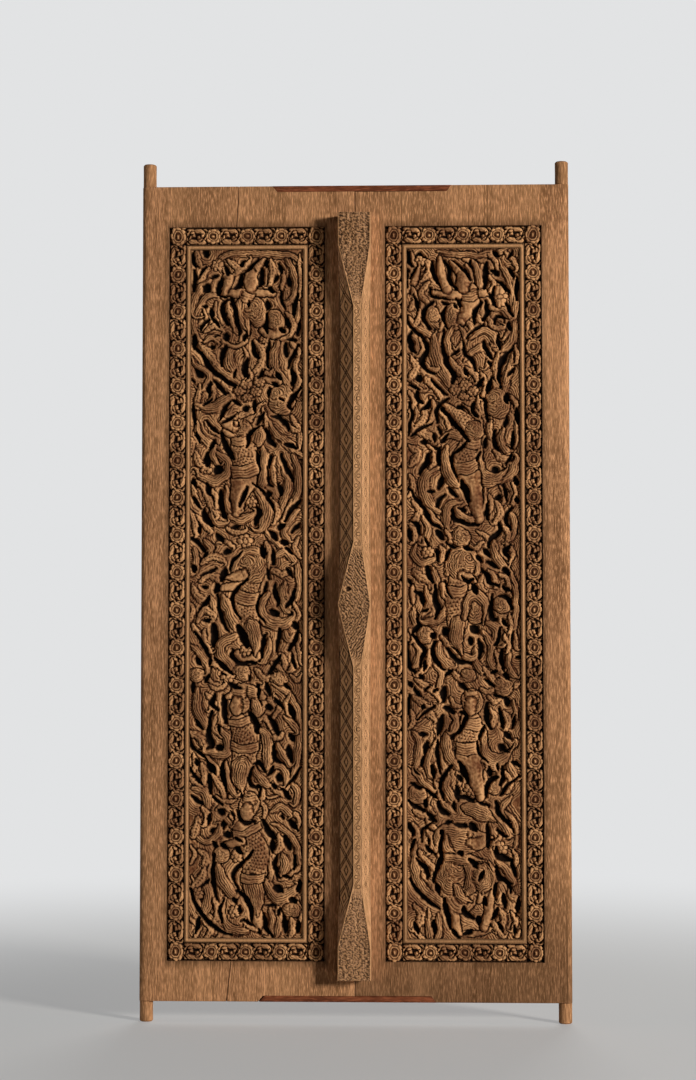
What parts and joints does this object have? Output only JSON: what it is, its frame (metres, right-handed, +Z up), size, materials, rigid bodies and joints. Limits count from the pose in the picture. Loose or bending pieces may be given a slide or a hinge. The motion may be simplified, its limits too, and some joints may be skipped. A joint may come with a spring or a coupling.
{
  "type": "carved temple door",
  "caption": "Carved wooden temple door in double leaves with pivot pins, a raised closing bar over the seam, figure-and-foliage panels and rosette borders; a leaf swings inwards.",
  "frame": {"origin": "on the axis of the left leaf's lower pivot pin, where the pin meets the plank", "axes": "+Z up along the pivot pins, +X to the right seen from the carved face, +Y inwards, away from the carved face"},
  "size_m": [1.159, 0.11, 2.321],
  "materials": {
    "carved_teak": "old oiled teak, dark in the hollows and worn pale on the high points",
    "bar_teak": "old teak, handled smooth",
    "peg_wood": "end grain, plain",
    "tie_wood": "newer reddish hardwood",
    "nail_iron": "forged, dark"
  },
  "bodies": {
    "left_leaf": {"left_leaf": "carved_teak", "closing_bar": "bar_teak", "closing_bar_pegs": "peg_wood", "top_tie_strip": "tie_wood", "bottom_tie_strip": "tie_wood", "tie_strip_nails": "nail_iron"},
    "right_leaf": {"right_leaf": "carved_teak"}
  },
  "joints": [
    {"name": "right_leaf_swing", "type": "hinge", "parent": "left_leaf", "child": "right_leaf", "pos_m": [1.123, 0, 0], "axis": [0, 0, -1], "range_deg": [0, 95]}
  ]
}
